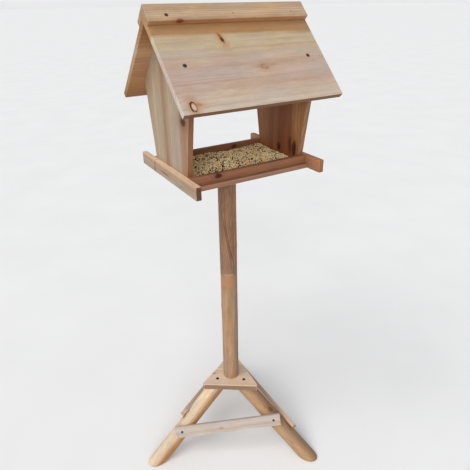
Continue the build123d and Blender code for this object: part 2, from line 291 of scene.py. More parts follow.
    # Colour across the board, then rings, fibres, long streaks and weathering.
    low, high = tones[0][0], tones[-1][0]
    edge = g.math("ADD", g.math("SUBTRACT", across, g.math("MULTIPLY", along, tilt)),
                  g.math("MULTIPLY", g.math("SUBTRACT", patch, 0.5), EDGE_WANDER * wander))
    spread = g.math("DIVIDE", g.math("SUBTRACT", edge, low), high - low)
    colour = g.ramp(spread, [((v - low) / (high - low), c) for v, c in tones])
    ringed = g.math("MULTIPLY", latewood, g.rescale(patch, 0.3, 0.7, rings * 0.45, rings))
    colour = g.mix(ringed, colour, late)
    fibrous = g.rescale(fibres, 0.25, 0.75, 1.0 - fibre, 1.0 + fibre * 0.45)
    colour = g.mix(1.0, colour, grey(fibrous), "MULTIPLY")
    colour = g.mix(1.0, colour, grey(g.rescale(fine, 0.3, 0.7, 0.93, 1.05)), "MULTIPLY")
    colour = g.mix(g.rescale(lines, 0.5, 0.72, 0.0, streaks), colour, late)
    colour = g.mix(1.0, colour, grey(g.rescale(blotch, 0.3, 0.7, 1.0 - mottle, 1.0 + mottle)), "MULTIPLY")
    weather = g.mix(g.rescale(hue, 0.32, 0.68, 0.0, 1.0), (1.0 - mottle * 0.5, 1.0, 1.0 + mottle),
                    (1.0 + mottle * 0.5, 1.0, 1.0 - mottle))
    colour = g.mix(1.0, colour, weather, "MULTIPLY")
    if specks:
        dots = g.noise(scaled(0.05, 0.35, 0.35, 3.0, side=bent), 1.0, 2.0)
        colour = g.mix(g.rescale(dots, 0.6, 0.75, 0.0, specks), colour, late)
    height = g.math("SUBTRACT", g.math("MULTIPLY", latewood, 0.35), g.math("MULTIPLY", fibres, 1.3))

    for far, deep, reach, k in marks:
        colour = g.mix(g.math("MULTIPLY", reach, k["halo"]), colour, k["glow"] or late)
        inside = g.rescale(far, 0.82, 1.12, 1.0, 0.0)
        colour = g.mix(inside, colour, k["rim"])
        circles = g.rescale(g.math("SINE", g.math("MULTIPLY", deep, 18.0)), -1.0, 1.0, 0.0, 0.4)
        colour = g.mix(g.rescale(deep, 0.5, 0.78, 1.0, 0.0), colour, g.mix(circles, k["core"], k["rim"]))
        crack = g.math("MULTIPLY", inside, g.rescale(deep, 0.5, 0.8, 0.0, 1.0))
        height = g.math("SUBTRACT", height, g.math("MULTIPLY", crack, 1.5))
    # Painted shade in the holes round fasteners.
    for su, sv, size in spots:
        du = g.math("SUBTRACT", along, su)
        dv = g.math("SUBTRACT", across, sv)
        far = g.math("SQRT", g.math("ADD", g.math("MULTIPLY", du, du), g.math("MULTIPLY", dv, dv)))
        colour = g.mix(g.rescale(far, size * 0.7, size * 1.35, 0.9, 0.0), colour, FASTENER_HOLE_SHADE)

    # End grain, sides of another tint, and edges made paler by rubbing and by a painted highlight.
    normal = g.tree.nodes.new("ShaderNodeTexCoord").outputs["Normal"]
    if ends:
        ending = g.math("ABSOLUTE", g.vector("DOT_PRODUCT", normal, lay.along))
        endwise = g.rescale(ending, 0.75, 0.95, 0.0, 1.0)
        pores = g.rescale(g.noise(scaled(0.3, 0.9, 0.9, 5.5), 1.0, 3.0, 0.7), 0.3, 0.7, 0.86, 1.14)
        end_colour = g.mix(1.0, g.mix(1.0, colour, ends, "MULTIPLY"), grey(pores), "MULTIPLY")
        colour = g.mix(endwise, colour, end_colour)
    for direction, tint, least, most in faces:
        turned = g.vector("DOT_PRODUCT", normal, Vector(direction).normalized())
        facing = g.rescale(turned, least, most, 0.0, 1.0)
        colour = g.mix(facing, colour, g.mix(1.0, colour, tint, "MULTIPLY"))
    flat = g.math("ABSOLUTE", g.vector("DOT_PRODUCT", normal, lay.through))
    if sides:
        colour = g.mix(g.rescale(flat, 0.1, 0.4, 1.0, 0.0), colour, g.mix(1.0, colour, sides, "MULTIPLY"))
    if wear_and_sheen:
        arris = g.math("MULTIPLY", g.rescale(flat, 0.1, 0.35, 0.0, 1.0),
                       g.rescale(flat, 0.85, 0.97, 1.0, 0.0))
        colour = g.mix(1.0, colour, grey(g.rescale(arris, 0.0, 1.0, 1.0, 1.0 + wear_and_sheen)), "MULTIPLY")
    colour = g.mix(1.0, colour, gain, "MULTIPLY")
    g.feed(g.shader.inputs["Base Color"], colour)
    g.feed(g.shader.inputs["Roughness"], g.rescale(fibres, 0.2, 0.8, rough - 0.08, rough + 0.12))
    g.feed(g.shader.inputs["Normal"], g.bump(height, GRAIN_DEPTH, 0.8))
    g.shader.inputs["Specular IOR Level"].default_value = 0.32
    return g.material


# ---------------------------------------------------------------- pieces

def dress(obj, body, material):
    """Gives a piece its finish and lets it ride on its body."""
    obj.data.materials.clear()
    obj.data.materials.append(material)
    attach(obj, body)


SAME_POINT = 1e-6       # m, corners this near are one
FLAT = 0.01             # radians, faces that differ less are one
EDGE_ANGLE = 0.4        # radians, a board's edge turns more than this
RIM_ANGLE = 0.45        # radians, a cut pole's rim turns more than this


def placed(name, data):
    """An object that shows this mesh, light or camera."""
    obj = bpy.data.objects.new(name, data)
    bpy.context.scene.collection.objects.link(obj)
    return obj


def smooth(mesh, sharp=None):
    """Smooth shading, but not over edges of more than sharp degrees."""
    for polygon in mesh.polygons:
        polygon.use_smooth = True
    if sharp:
        mesh.set_sharp_from_angle(angle=math.radians(sharp))


def welded(mesh):
    """A CAD mesh to work on, its corners joined and each flat face in one piece."""
    bm = bmesh.new()
    bm.from_mesh(mesh)
    bmesh.ops.remove_doubles(bm, verts=bm.verts, dist=SAME_POINT)
    bmesh.ops.dissolve_limit(bm, angle_limit=FLAT, verts=bm.verts, edges=bm.edges)
    return bm


def eased(node, material, width=1.1, shortest=9.0):
    """A board as the CAD has it, with its long edges eased by sandpaper.

    width: mm the edges are rounded by; shortest: mm of the shortest edge that is eased
    """
    source = NODES[node]
    mesh = source.data.copy()
    mesh.name = node + "_board"
    bm = welded(mesh)
    long_edges = [
        e for e in bm.edges
        if len(e.link_faces) == 2 and e.calc_face_angle(0) > EDGE_ANGLE and e.calc_length() > shortest * MM
    ]
    bmesh.ops.bevel(bm, geom=long_edges, offset=width * MM, segments=3, profile=0.6,
                    affect="EDGES", clamp_overlap=False)
    bm.to_mesh(mesh)
    bm.free()
    smooth(mesh, 42)
    board = placed(node + "_board", mesh)
    flatten = board.modifiers.new("flat_faces", "WEIGHTED_NORMAL")
    flatten.weight = 100
    flatten.keep_sharp = True
    dress(board, source["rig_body"], material)
    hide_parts(node)


def smooth_noise(seed):
    """A sum of a few random waves over (angle, length in metres), about -1 to 1."""
    rng = random.Random(seed)
    waves = [(rng.choice((1, 2, 2, 3, 4)), rng.uniform(4, 40), rng.uniform(0, 6.3), rng.uniform(0.4, 1.0))
             for _ in range(9)]
    total = sum(w[3] for w in waves) * 0.5
    return lambda angle, along: sum(a * math.sin(n * angle + k * along + p) for n, k, p, a in waves) / total


FOOT_REACH = 0.014      # m, the most that a foot's rounding takes from its rim
NEAR_FOOT = 0.02        # m, rims lower than this belong to the foot


def pole(name, node, top, bottom, top_z, bottom_z, radius, material, bumps=(), rough=0.35, ease=0.8,
         foot=0.0, rows=90, around=72, seed=1):
    """A peeled round pole from one level cut to another.

    rough: mm the surface is uneven by; ease: mm the cut ends' rims are eased by
    bumps: (angle in degrees, distance from the bottom as a share, height mm, size mm)
    foot: radius in mm that the rim of a slanting pole's foot is rounded to
    """
    axis = (Vector(top) - Vector(bottom)).normalized()
    side = axis.cross(Y if abs(axis.y) < 0.9 else X).normalized()
    other = axis.cross(side)
    wave = smooth_noise(seed)
    bm = bmesh.new()
    grid = []
    length = (Vector(top) - Vector(bottom)).length
    for j in range(rows + 1):
        share = j / rows
        ring = []
        for i in range(around):
            angle = 2 * math.pi * i / around
            out = side * math.cos(angle) + other * math.sin(angle)
            wobble = wave(angle, share * length) * rough * MM
            for b_angle, b_share, b_height, b_size in bumps:
                turn = angle - math.radians(b_angle)
                turn = math.atan2(math.sin(turn), math.cos(turn))
                away = math.hypot(turn * radius, (share - b_share) * length) / (b_size * MM)
                wobble += b_height * MM * math.exp(-away * away)
            line = out * (radius + wobble)
            start = Vector(bottom) + line
            low = start + axis * ((bottom_z - start.z) / axis.z)
            high = start + axis * ((top_z - start.z) / axis.z)
            ring.append(bm.verts.new(low.lerp(high, share)))
        grid.append(ring)
    if foot:
        # The side turns into the sole along a curve that is longer where the rim is sharper.
        sole = sum((v.co for v in grid[0]), Vector()) / around
        curve = [[] for _ in range(5)]
        for i in range(around):
            rim = grid[0][i].co.copy()
            inward = (sole - rim).normalized()
            angle = math.acos(max(-1.0, min(1.0, axis.dot(inward))))
            reach = min(foot * MM / math.tan(angle / 2), FOOT_REACH)
            high, low = rim + axis * reach, rim + inward * reach
            for n, ring in enumerate(curve):
                t = 1 - n / (len(curve) - 1)
                ring.append(bm.verts.new(high * t * t + rim * 2 * t * (1 - t) + low * (1 - t) * (1 - t)))
            # Rows that the curve has passed are gathered just above it.
            for j in range(1, rows):
                v = grid[j][i]
                if (v.co - rim).dot(axis) > reach * 1.15:
                    break
                v.co = high + axis * reach * 0.15 * j / 4
        for v in grid[0]:
            bm.verts.remove(v)
        grid = list(reversed(curve)) + grid[1:]
        rows += len(curve) - 1
    for j in range(rows):
        for i in range(around):
            k = (i + 1) % around
            bm.faces.new((grid[j][i], grid[j][k], grid[j + 1][k], grid[j + 1][i]))
    bm.faces.new(list(reversed(grid[0])))
    bm.faces.new(grid[-1])
    # A foot's rim is round already.
    rims = [e for e in bm.edges
            if e.calc_face_angle(0) > RIM_ANGLE and not (foot and e.verts[0].co.z < bottom_z + NEAR_FOOT)]
    bmesh.ops.bevel(bm, geom=rims, offset=ease * MM, segments=3, profile=0.55, affect="EDGES",
                    clamp_overlap=False)
    bmesh.ops.recalc_face_normals(bm, faces=bm.faces)
    mesh = bpy.data.meshes.new(name)
    bm.to_mesh(mesh)
    bm.free()
    smooth(mesh, 40)
    obj = placed(name, mesh)
    dress(obj, NODES[node]["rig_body"], material)
    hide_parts(node)


# ---------------------------------------------------------------- where things are

def middle(node):
    low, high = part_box(node)
    return (low + high) / 2


# The outer faces of the two roof panels meet on the ridge line, half a strip's height under the top.
panel_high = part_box("front_roof_panel")[1]
strip_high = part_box("front_ridge_strip")[1]
RIDGE = Vector((middle("front_roof_panel").x, panel_high.y - (strip_high.z - panel_high.z) / 2, panel_high.z))
C45 = math.sqrt(0.5)
FRONT = Lay(RIDGE, X, (0, -C45, -C45))
BACK = Lay(RIDGE, X, (0, C45, -C45))


# ---------------------------------------------------------------- finishes

# Painted shade in the holes round the roof screws.
ROOF_SCREW_SHADE = [(-144, 121, 4.2), (144, 121, 4.2)]      # round the screws into the walls

roof_front = wood(
    "pine_roof_front", FRONT,
    [(0, srgb(158, 110, 66)), (30, srgb(170, 126, 84)), (52, srgb(172, 130, 88)), (60, srgb(196, 174, 144)),
     (74, srgb(196, 174, 142)), (92, srgb(196, 170, 140)), (99, srgb(192, 172, 152)),
     (122, PINK), (150, srgb(194, 168, 150)), (178, PINK), (200, srgb(204, 180, 158)),
     (224, srgb(206, 186, 166))],
    srgb(158, 112, 76), ring=9, pith=(150, 80), rings=0.22, fibre=0.17, wander=0.45, seed=2.0, streaks=0.34,
    tilt=0.025, mottle=0.06, ends=(1.14, 1.23, 1.35),
    knots=[knot(-149, 206, 8, 3, 6, srgb(176, 124, 84), srgb(184, 138, 100), 0.6, srgb(184, 132, 90)),
           knot(-161, 209, 6.5, 12, 0, srgb(226, 192, 164), srgb(84, 42, 20), 0.8, srgb(178, 112, 62),
                (0.16, 0.06)),
           knot(-44, 64, 4, 15, -13, srgb(136, 80, 44), srgb(168, 112, 68), 0.55, srgb(176, 120, 76)),
           knot(-43, 68, 3.6, 5.5, -13, DARK, srgb(92, 48, 24), 0.2),
           knot(-48, 79, 2, 7, -4, srgb(206, 176, 146), srgb(178, 130, 92), 0.2),
           knot(25, 138, 9, 6, 10, srgb(178, 144, 118), srgb(156, 118, 90), 0.7, srgb(168, 124, 92)),
           knot(42, 135, 18, 2.4, -3, srgb(176, 140, 112), srgb(182, 148, 122), 0.3)],
    # The lip that faces down and forward is tinted dark: painted shade.
    faces=[((0, -1, -1), (0.35, 0.21, 0.11), 0.75, 0.95), ((1, 0, 0), (0.7, 0.6, 0.5), 0.75, 0.95)],
    spots=ROOF_SCREW_SHADE, gain=(0.81, 0.85, 0.89))
roof_back = wood(
    "pine_roof_back", BACK,
    [(12, BROWN), (60, TAN), (90, PALE), (130, PINK), (180, TAN), (236, BROWN)],
    srgb(136, 88, 50), ring=7, pith=(90, -50), rings=0.45, fibre=0.2, wander=1.0, seed=11.0,
    knots=[knot(70, 90, 8, 10, 8, srgb(110, 68, 40), srgb(80, 44, 22), 0.5),
           knot(-120, 180, 6, 9, -20, srgb(150, 108, 76), srgb(100, 60, 34), 0.5)],
    # The underside and the lower back edge are tinted darker and warmer: painted shade.
    faces=[((0, -1, -1), (1.0, 0.8, 0.58), 0.75, 0.95), ((0, 1, -1), (0.8, 0.7, 0.6), 0.75, 0.95)],
    spots=ROOF_SCREW_SHADE, gain=(0.82, 0.82, 0.82))
strip_front = wood(
    "pine_strip_front", FRONT,
    [(-12, srgb(196, 166, 132)), (0, srgb(190, 160, 128)), (12, srgb(204, 176, 144)), (28, TAN)],
    srgb(150, 104, 64), ring=3.6, pith=(60, 30), rings=0.5, fibre=0.22, wander=0.5, seed=4.0, streaks=0.4,
    knots=[knot(-121, 28, 9, 4, 0, srgb(112, 70, 44), srgb(140, 90, 58), 0.6, srgb(160, 104, 66),
                depth=(-9, 5))],
    # The lower edge that faces down and forward is tinted darker: painted shade.
    faces=[((0, -1, -1), (1.06, 0.78, 0.56), 0.75, 0.95)],
    # The spots are painted shade in the screw holes.
    spots=[(-145, 15, 3.8), (0, 15, 1.2), (145, 15, 1.2)], gain=(0.83, 0.84, 0.86))
strip_back = wood(
    "pine_strip_back", BACK,
    [(0, TAN), (16, srgb(200, 172, 140)), (32, TAN)],
    srgb(150, 104, 64), ring=4, pith=(-30, 25), rings=0.5, fibre=0.22, wander=0.5, seed=5.0, streaks=0.4,
    # The spots are painted shade in the screw holes.
    spots=[(145, 21, 3.8), (0, 21, 1.2), (-145, 21, 1.2)], gain=(0.82, 0.83, 0.85))


def wall_lay(node):
    return Lay((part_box(node)[0].x, RIDGE.y, 0), Z, Y)


def side_rail_lay(node):
    return Lay((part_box(node)[0].x, middle(node).y, middle(node).z), Y, Z)


wall_left = wood(
    "pine_wall_left", wall_lay("left_wall"),
    bands((-115, 150, 118, 92), (-84, 154, 124, 97), (-70, 142, 105, 76), (-60, 152, 126, 102),
          (-48, 168, 152, 130), (-34, 164, 149, 130), (-14, 169, 151, 130), (2, 164, 142, 118),
          (14, 148, 114, 84), (24, 156, 128, 100), (38, 164, 147, 124), (64, 170, 152, 128),
          (84, 167, 144, 117), (120, 160, 134, 106)),
    srgb(124, 94, 68), ring=6, pith=(40, 70), rings=0.4, fibre=0.28, wander=0.45, seed=21.0, streaks=0.45,
    mottle=0.035,
    knots=[knot(925, -68, 60, 5, 1, srgb(150, 110, 84), srgb(150, 114, 88), 0.4, srgb(150, 112, 84)),
           knot(996, -73, 9, 12, 5, srgb(58, 32, 18), srgb(86, 48, 30), 0.8, srgb(120, 76, 50))],
    # The front edge is tinted darker and redder: painted shade.
    faces=[((0, -1, -0.15), (0.8, 0.54, 0.42), 0.75, 0.95)])
wall_right = wood(
    "pine_wall_right", wall_lay("right_wall"),
    bands((-115, 176, 128, 92), (-84, 166, 118, 84), (-60, 180, 134, 98), (-48, 158, 108, 76),
          (-34, 146, 92, 60), (-20, 138, 82, 52), (-4, 132, 78, 50), (14, 156, 102, 70),
          (30, 138, 86, 58), (60, 160, 110, 76), (120, 170, 120, 82)),
    srgb(98, 54, 32), ring=7, pith=(-20, -60), rings=0.45, fibre=0.25, wander=0.5, seed=31.0, streaks=0.35,
    knots=[knot(884, 0, 11, 7, 0, srgb(52, 22, 14), srgb(84, 38, 22), 0.7, srgb(120, 62, 36)),
           # Two long dark marks near the wall's lower front corner, drawn with the knot pattern.
           knot(898, -44, 22, 6, 4, srgb(78, 38, 24), srgb(92, 46, 28), 0.7, srgb(124, 70, 44)),
           knot(893, -60, 20, 8, -4, srgb(66, 34, 22), srgb(88, 46, 30), 0.7, srgb(124, 70, 44))],
    # Its tint is the orange of its inner face in shade, which is painted shade; the tints of its front edge
    # and outer face take part of it back off.
    faces=[((0, -1, -0.15), (0.75, 0.87, 1.16), 0.75, 0.95), ((1, 0, 0), (0.92, 1.06, 1.42), 0.75, 0.95)],
    gain=(1.04, 0.97, 0.69))

rail_left = wood(
    "pine_rail_left", side_rail_lay("left_rail"),
    bands((-15, 172, 152, 134), (-6, 160, 132, 108), (0, 172, 148, 126), (7, 160, 130, 104),
          (15, 200, 166, 136)),
    srgb(120, 82, 56), ring=3.2, pith=(30, 18), rings=0.55, fibre=0.3, wander=0.35, seed=41.0, streaks=0.5,
    knots=[knot(68, -2, 2.2, 14, 4, srgb(96, 62, 42), srgb(118, 80, 56), 0.5),
           knot(11, -1.5, 28, 1.5, 1, srgb(104, 70, 48), srgb(116, 80, 58), 0.4)],
    # Its top is tinted lighter and its front end darker: painted light and painted shade.
    faces=[((0, 0, 1), (1.4, 1.45, 1.58), 0.75, 0.95), ((0, -1, 0), (0.4, 0.24, 0.16), 0.75, 0.95)],
    gain=(1.0, 1.08, 1.12))
rail_right = wood(
    "pine_rail_right", side_rail_lay("right_rail"),
    bands((-15, 150, 104, 74), (15, 168, 116, 80)),
    srgb(110, 66, 42), ring=4, pith=(25, 30), rings=0.5, fibre=0.25, wander=0.5, seed=42.0, streaks=0.4,
    # Its front end is tinted darker: painted shade.
    faces=[((0, -1, 0), (0.8, 0.72, 0.66), 0.75, 0.95)], gain=(1.27, 1.35, 1.49))
rail_front = wood(
    "pine_rail_front", Lay(middle("front_rail"), X, Z),
    bands((-10, 140, 92, 62), (0, 150, 102, 72), (10, 156, 106, 74)),
    srgb(104, 62, 38), ring=3.0, pith=(30, -20), rings=0.5, fibre=0.28, wander=0.4, seed=43.0, streaks=0.5,
    knots=[knot(-84, 4, 9, 5.5, 0, srgb(58, 22, 16), srgb(82, 36, 24), 0.6, srgb(116, 62, 42))],
    gain=(0.92, 0.9, 0.9))
rail_back = wood(
    "pine_rail_back", Lay(middle("back_rail"), X, Z),
    bands((-10, 130, 84, 58), (0, 144, 96, 66), (10, 150, 100, 70)),
    srgb(96, 58, 36), ring=3.0, pith=(20, 28), rings=0.5, fibre=0.28, wander=0.4, seed=44.0, streaks=0.5,
    knots=[knot(60, 2, 7, 4, 0, srgb(90, 52, 34), srgb(76, 40, 24), 0.5)])
floor_wood = wood(
    "pine_floor", Lay(middle("floor_board"), X, Y),
    [(-103, srgb(166, 124, 98)), (-60, BROWN), (0, TAN), (60, BROWN), (103, TAN)],
    srgb(116, 74, 48), ring=6, pith=(20, 50), rings=0.45, fibre=0.22, wander=0.8, seed=45.0,
    knots=[knot(-70, 50, 9, 6, 0, srgb(120, 76, 48), srgb(86, 50, 30), 0.5)], gain=(0.82, 0.8, 0.83))


PLATE_TURN = math.radians(-34.2)        # of the plates' grain, from X


def plate_lay(node):
    c, s = math.cos(PLATE_TURN), math.sin(PLATE_TURN)
    return Lay((0, 0, middle(node).z), (c, s, 0), (-s, c, 0))


base_wood = wood(
    "pine_base_plate", plate_lay("base_plate"),
    bands((-60, 196, 162, 132), (-20, 208, 180, 154), (10, 204, 176, 150), (50, 212, 188, 164),
          (100, 200, 170, 142)),
    srgb(160, 112, 76), ring=6, pith=(30, 45), rings=0.35, fibre=0.18, wander=0.8, seed=51.0,
    knots=[knot(-52, -2, 5, 4, 0, srgb(178, 140, 110), srgb(150, 106, 78), 0.4)], ends=None,
    # The narrow sides are tinted much darker than the top: painted shade.
    sides=(0.39, 0.34, 0.3), gain=(1.1, 1.17, 1.24))
mount_wood = wood(
    "pine_mounting_plate", plate_lay("mounting_plate"),
    [(-60, BROWN), (0, TAN), (60, BROWN)],
    srgb(110, 70, 44), ring=6, pith=(-30, 45), rings=0.4, fibre=0.2, wander=0.8, seed=52.0, ends=None,
    sides=(0.6, 0.52, 0.48), wear_and_sheen=0.0, gain=(0.85, 0.82, 0.82))


def pole_wood(name, lay, base, late, seed, **more):
    """Wood of a round pole, a little paler on one side of its middle than on the other; on the upright poles
    that is painted light towards the key light and painted shade away from it.
    """
    paler, darker = tuple(v * 1.08 for v in base), tuple(v * 0.94 for v in base)
    tones = [(-30, base), (-8, paler), (8, base), (30, darker)]
    return wood(name, lay, tones, late, seed=seed, rough=0.55, wear_and_sheen=0.0, **more)


FAR_SIDE = (0.86, -0.51, 0)     # of the poles, away from the key light
# The upright poles' tones run across towards FAR_SIDE: their paler half is painted light, their darker half
# painted shade.
pole_lay = Lay((0, 0, 0), Z, FAR_SIDE)
upper_wood = pole_wood(
    "pine_pole_upper", pole_lay, srgb(172, 132, 102), srgb(88, 52, 30), 61.0,
    ring=3.4, pith=(94, -18), slant=(-0.14, 0.0), rings=0.8, fibre=0.36, wander=0.45, specks=0.45,
    # The side away from the key light is tinted more orange: painted shade.
    streaks=0.45, mottle=0.1, gain=(0.69, 0.67, 0.65), faces=[(FAR_SIDE, (1.25, 1.08, 0.92), 0.3, 1.0)],
    knots=[knot(569, -1, 4.5, 15, 0, srgb(186, 152, 124), srgb(180, 142, 112), 0.0)])
lower_wood = pole_wood(
    "pine_pole_lower", pole_lay, srgb(196, 156, 120), srgb(146, 100, 66), 62.0,
    ring=6, pith=(3, -14), slant=(0.0, 0.02), rings=0.4, fibre=0.24, wander=0.3, mottle=0.12,
    knots=[knot(546, 0, 15, 19, 0, srgb(190, 140, 99), srgb(191, 143, 103), 0.6, srgb(186, 136, 94))],
    # The side away from the key light is tinted darker: painted shade.
    faces=[(FAR_SIDE, (0.82, 0.79, 0.8), 0.3, 1.0)], gain=(0.66, 0.65, 0.65))


# ---------------------------------------------------------------- boards

eased("front_roof_panel", roof_front, 1.3)
eased("back_roof_panel", roof_back, 1.3)
eased("front_ridge_strip", strip_front, 1.2)
eased("back_ridge_strip", strip_back, 1.2)
eased("left_wall", wall_left)
eased("right_wall", wall_right)
eased("left_rail", rail_left, 1.3)
eased("right_rail", rail_right, 1.3)
eased("front_rail", rail_front)
eased("back_rail", rail_back)
eased("floor_board", floor_wood)
eased("mounting_plate", mount_wood, 1.4)
eased("base_plate", base_wood, 1.6)


# ---------------------------------------------------------------- braces

def brace_lay(node):
    """A brace's grain runs along its longest edge; its widest face looks outward."""
    bm = welded(NODES[node].data)
    longest = max(bm.edges, key=lambda e: e.calc_length())
    along = (longest.verts[0].co - longest.verts[1].co).normalized()
    outward = max(bm.faces, key=lambda f: f.calc_area()).normal.copy()
    bm.free()
    return Lay(middle(node), along, outward.cross(along))


# Tint of each brace's narrow sides, mostly lighter: painted light.
BRACE_SIDES = {"front_brace": (1.35, 1.35, 1.33), "right_brace": (1.15, 0.92, 0.76),
               "rear_brace": (1.3, 1.12, 0.98)}
for index, node in enumerate(BRACE_SIDES):
    lay = brace_lay(node)
    eased(node, wood(
        "pine_" + node, lay,
        bands((-16, 210, 192, 176), (-4, 222, 206, 192), (6, 212, 192, 174), (16, 220, 206, 192)),
        srgb(170, 136, 108), ring=5, pith=(60 + 10 * index, 40), rings=0.3, fibre=0.16, wander=0.5,
        seed=71.0 + index, knots=[knot(20, 3, 5, 3, 0, srgb(196, 166, 140), srgb(184, 148, 118), 0.25)],
        sides=BRACE_SIDES[node], gain=(0.65, 0.66, 0.69)), 1.2)


# ---------------------------------------------------------------- pole and legs

POLE_R = (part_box("lower_pole")[1].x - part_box("lower_pole")[0].x) / 2
PEELED = 0.0002         # m, how much thinner a peeled pole is than the CAD's
LEG_PEELED = 0.0003
# Pole: its wood, its bumps, how rough it is, its random seed.
POLES = {
    "upper_pole": (upper_wood, [(250, 0.62, 0.8, 12), (140, 0.3, 0.6, 10), (40, 0.8, 0.7, 12)], 0.45, 3),
    "lower_pole": (lower_wood, [(200, 0.4, 0.5, 12), (330, 0.7, 0.6, 12)], 0.3, 4),
}
for node, (material, bumps, rough, seed) in POLES.items():
    low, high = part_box(node)
    pole(node + "_round", node, (0, 0, high.z), (0, 0, low.z), high.z, low.z, POLE_R - PEELED, material,
         bumps=bumps, rough=rough, ease=0.7, seed=seed)

# The legs' side towards the key light, which their tints make paler: painted light.
PAINTED_LIGHT_SIDE = (-0.85, 0.1, 0.5)   # of the legs
# Leg: tint of the whole, tint of its side towards the key light, which is painted light.
LEG_TINTS = {
    "rear": ((0.62, 0.55, 0.48), (1.5, 1.9, 2.5)),
    "left": ((0.68, 0.54, 0.39), (1.58, 2.6, 4.9)),
    "front": ((0.42, 0.4, 0.41), (1.6, 1.78, 1.85)),
}
FEET = {m["name"][:-5]: Vector(m["pos_m"]) for m in frame["record"]["mounts"] if m["name"].endswith("_foot")}
for index, (key, (gain, pale)) in enumerate(LEG_TINTS.items()):
    node = key + "_leg"
    low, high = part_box(node)
    rim = [v.co for v in NODES[node].data.vertices if abs(v.co.z - high.z) < 1e-5]
    rim = [Vector(p) for p in {tuple(round(c, 6) for c in co) for co in rim}]
    centre = sum(rim, Vector()) / len(rim)
    lay = Lay(FEET[key], centre - FEET[key], (centre - FEET[key]).cross(Z))
    material = pole_wood(
        "pine_" + node, lay, srgb(206, 164, 122), srgb(140, 88, 50), 81.0 + index,
        ring=4, pith=(3, -14), slant=(0.0, 0.015), rings=0.22, fibre=0.3, wander=0.25, specks=0.5,
        mottle=0.09,
        knots=[knot(120 + 30 * index, -6, 7, 5, 0, srgb(160, 108, 66), srgb(126, 78, 44), 0.5)],
        faces=[(PAINTED_LIGHT_SIDE, pale, 0.0, 0.9)], gain=gain)
    pole(node + "_round", node, centre, FEET[key], high.z, low.z, POLE_R - LEG_PEELED, material,
         bumps=[(60 + 100 * index, 0.35, 0.9, 12), (200 + 70 * index, 0.6, 0.8, 14), (300, 0.2, 0.7, 10)],
         rough=0.4, ease=0.8, foot=4.0, seed=10 + index)


# ---------------------------------------------------------------- seeds

def grain_shape(length, width, rings=4, around=6):
    """A seed as rings of points along its length, pointed at both ends."""
    points = [(-length / 2, 0.0, 0.0)]
    for j in range(1, rings):
        share = j / rings
        r = width / 2 * math.sin(math.pi * share) ** 0.75
        for i in range(around):
            a = 2 * math.pi * i / around
            points.append((length * (share - 0.5), r * math.cos(a), r * math.sin(a) * 0.8))
    points.append((length / 2, 0.0, 0.0))
    faces = []
    for i in range(around):
        k = (i + 1) % around
        faces.append((0, 1 + k, 1 + i))
        for j in range(rings - 2):
            a = 1 + j * around
            faces.append((a + i, a + k, a + around + k, a + around + i))
        last = 1 + (rings - 2) * around
        faces.append((len(points) - 1, last + i, last + k))
    return np.array(points), faces


def seed_material(name, base, edge, gloss=0.3):
    g = Graph(name)
    place = g.place()
    cell = g.tree.nodes.new("ShaderNodeTexVoronoi")
    cell.inputs["Scale"].default_value = 300
    g.feed(cell.inputs["Vector"], place)
    tint = g.separate(cell.outputs["Color"])[0]
    streak = g.noise(place, 1600.0, 2.0)
    colour = g.mix(g.rescale(tint, 0.1, 0.9, 0.0, 1.0), base, edge)
    dark = g.rescale(streak, 0.3, 0.7, 0.8, 1.12)
    colour = g.mix(1.0, colour, g.combine(dark, dark, dark), "MULTIPLY")
    g.feed(g.shader.inputs["Base Color"], colour)
    g.feed(g.shader.inputs["Normal"], g.bump(streak, 0.0002, 0.5))
    g.shader.inputs["Roughness"].default_value = 0.7
    g.shader.inputs["Specular IOR Level"].default_value = gloss
    return g.material


bed_low, bed_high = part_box("seed_bed")
SEED_SINK = 0.0022      # m, the grains' middles under the CAD's top
LAYER_SINK = 0.0016     # m, the dark layer under the grains' middles
SEED_MARGIN = 0.0025    # m, kept free along the tray's sides
SEED_LIFT = (-0.0004, 0.0014)   # m, how far a grain lies off that height
SEED_TILT = 0.35        # radians, how far a grain typically leans
SEED_SIZES = (0.78, 1.15)
BARE = -0.38            # lower is fewer bare places


def bed_height(x, y):
    """The uneven height that the grains' middles lie at."""
    swell = 0.0009 * math.sin(41 * x + 23 * y)
    ripple = 0.0008 * math.sin(67 * y - 31 * x + 1.0)
    return bed_high.z - SEED_SINK + swell + ripple


def is_bare(x, y):
    """Whether the dark layer shows here: small places scattered over the tray."""
    wave = math.sin(1150 * x + 3 * math.sin(130 * y)) * math.sin(1080 * y + 3 * math.sin(110 * x) + 1.0)
    return wave < BARE


def seed_pile(name, count, length, width, material, seed):
    """Loose grains of one kind over the tray; length and width in mm."""
    rng = random.Random(seed)
    shape, shape_faces = grain_shape(length * MM, width * MM)
    points = []
    faces = []
    for _ in range(count):
        x = rng.uniform(bed_low.x + SEED_MARGIN, bed_high.x - SEED_MARGIN)
        y = rng.uniform(bed_low.y + SEED_MARGIN, bed_high.y - SEED_MARGIN)
        if is_bare(x, y):
            continue
        z = bed_height(x, y) + rng.uniform(*SEED_LIFT)
        heading = Matrix.Rotation(rng.uniform(0, math.pi * 2), 3, "Z")
        tilt = Matrix.Rotation(rng.gauss(0, SEED_TILT), 3, "Y")
        roll = Matrix.Rotation(rng.uniform(0, 6.3), 3, "X")
        turn = heading @ tilt @ roll
        size = rng.uniform(*SEED_SIZES)
        moved = (np.array(turn) @ shape.T).T * size + np.array((x, y, z))
        first = len(points)
        points.extend(moved.tolist())
        faces.extend([tuple(first + i for i in face) for face in shape_faces])
    mesh = bpy.data.meshes.new(name)
    mesh.from_pydata(points, [], faces)
    mesh.update()
    smooth(mesh)
    dress(placed(name, mesh), NODES["seed_bed"]["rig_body"], material)


